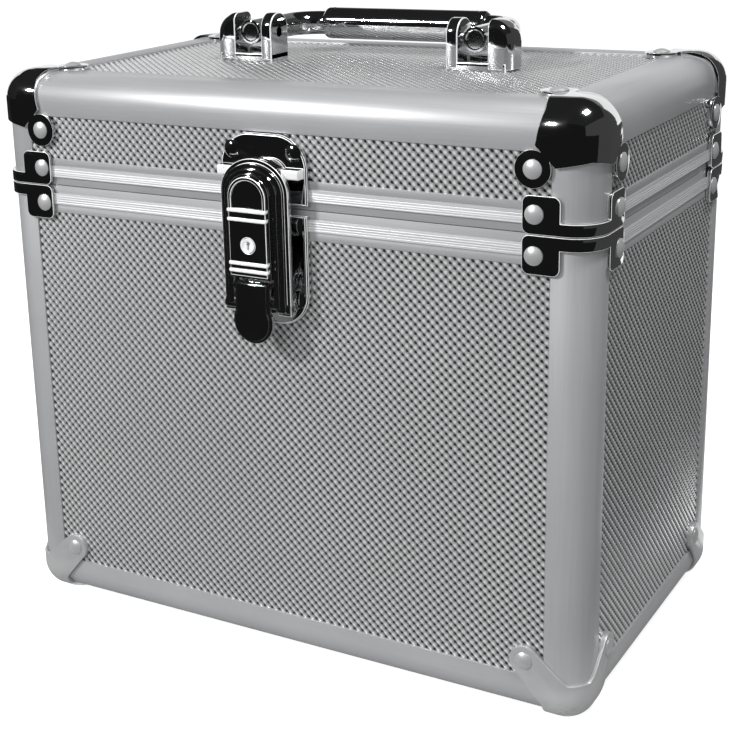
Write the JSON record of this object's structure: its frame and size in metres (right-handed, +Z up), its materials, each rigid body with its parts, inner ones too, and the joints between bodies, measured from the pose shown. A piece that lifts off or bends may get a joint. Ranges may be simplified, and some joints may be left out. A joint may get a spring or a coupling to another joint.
{
  "type": "hard drive case",
  "caption": "Small aluminium-framed carrying case with a hinged lid, keyed draw latch, folding handle, ball corners and a foam insert with slots for bare hard drives.",
  "frame": {"origin": "on the floor, under the middle of the overall box, latch and hinges included", "axes": "+X along the case's width, to the right seen from the front; +Y to the hinged back; +Z up"},
  "size_m": [0.2474, 0.1662, 0.2354],
  "materials": {
    "anodised_frame": "satin silver anodised extrusion, drawn along its length",
    "embossed_sheet": "silver sheet embossed with small diamonds, on a fibreboard core",
    "chrome_fittings": "bright chrome plate",
    "satin_corners": "satin nickel plate",
    "rivet_heads": "bright plated dome",
    "steel_pins": "plain steel",
    "foam": "charcoal open-cell foam"
  },
  "bodies": {
    "case_body": {"back_panel": "embossed_sheet", "base_corner_back_left": "satin_corners", "base_corner_back_right": "satin_corners", "base_corner_front_left": "satin_corners", "base_corner_front_right": "satin_corners", "base_panel": "embossed_sheet", "base_rail_back": "anodised_frame", "base_rail_front": "anodised_frame", "base_rail_left": "anodised_frame", "base_rail_right": "anodised_frame", "body_rim_back": "anodised_frame", "body_rim_front": "anodised_frame", "body_rim_left": "anodised_frame", "body_rim_right": "anodised_frame", "body_rivets": "rivet_heads", "corner_posts": "anodised_frame", "drive_foam": "foam", "foam_floor": "foam", "front_panel": "embossed_sheet", "hinge_leaves_lower": "chrome_fittings", "hinge_pins": "steel_pins", "latch_base": "chrome_fittings", "left_panel": "embossed_sheet", "lever_pin": "steel_pins", "lower_seam_brackets": "chrome_fittings", "right_panel": "embossed_sheet"},
    "lid": {"handle_bracket_left": "chrome_fittings", "handle_bracket_right": "chrome_fittings", "handle_pins": "steel_pins", "handle_screws": "steel_pins", "hinge_leaves_upper": "chrome_fittings", "latch_keeper": "chrome_fittings", "lid_back_panel": "embossed_sheet", "lid_corner_back_left": "chrome_fittings", "lid_corner_back_right": "chrome_fittings", "lid_corner_front_left": "chrome_fittings", "lid_corner_front_right": "chrome_fittings", "lid_foam": "foam", "lid_front_panel": "embossed_sheet", "lid_left_panel": "embossed_sheet", "lid_posts": "anodised_frame", "lid_rail_back": "anodised_frame", "lid_rail_front": "anodised_frame", "lid_rail_left": "anodised_frame", "lid_rail_right": "anodised_frame", "lid_right_panel": "embossed_sheet", "lid_rim_back": "anodised_frame", "lid_rim_front": "anodised_frame", "lid_rim_left": "anodised_frame", "lid_rim_right": "anodised_frame", "lid_rivets": "rivet_heads", "lid_top_panel": "embossed_sheet", "upper_seam_brackets": "chrome_fittings"},
    "latch_lever": {"claw_pin": "steel_pins", "latch_lever": "chrome_fittings"},
    "latch_claw": {"latch_claw": "chrome_fittings"},
    "key_cylinder": {"key_cylinder": "chrome_fittings"},
    "handle": {"handle": "chrome_fittings", "handle_grip": "chrome_fittings"}
  },
  "joints": [
    {"name": "lid_hinge", "type": "hinge", "parent": "case_body", "child": "lid", "pos_m": [0, 0.0805, 0.1754], "axis": [-1, 0, 0], "range_deg": [0, 100]},
    {"name": "lever_throw", "type": "hinge", "parent": "case_body", "child": "latch_lever", "pos_m": [0, -0.076, 0.1464], "axis": [-1, 0, 0], "range_deg": [0, 90]},
    {"name": "claw_swing", "type": "hinge", "parent": "latch_lever", "child": "latch_claw", "pos_m": [0, -0.07556, 0.14142], "axis": [1, 0, 0], "range_deg": [0, 103.5]},
    {"name": "key_turn", "type": "hinge", "parent": "latch_claw", "child": "key_cylinder", "pos_m": [0, -0.079, 0.1644], "axis": [0, 1, 0], "range_deg": [0, 90]},
    {"name": "handle_swing", "type": "hinge", "parent": "lid", "child": "handle", "pos_m": [0, 0.004, 0.2279], "axis": [1, 0, 0], "range_deg": [0, 180]}
  ],
  "couplings": [
    {"joint": "claw_swing", "follows": "lever_throw", "ratio": 1.15}
  ]
}
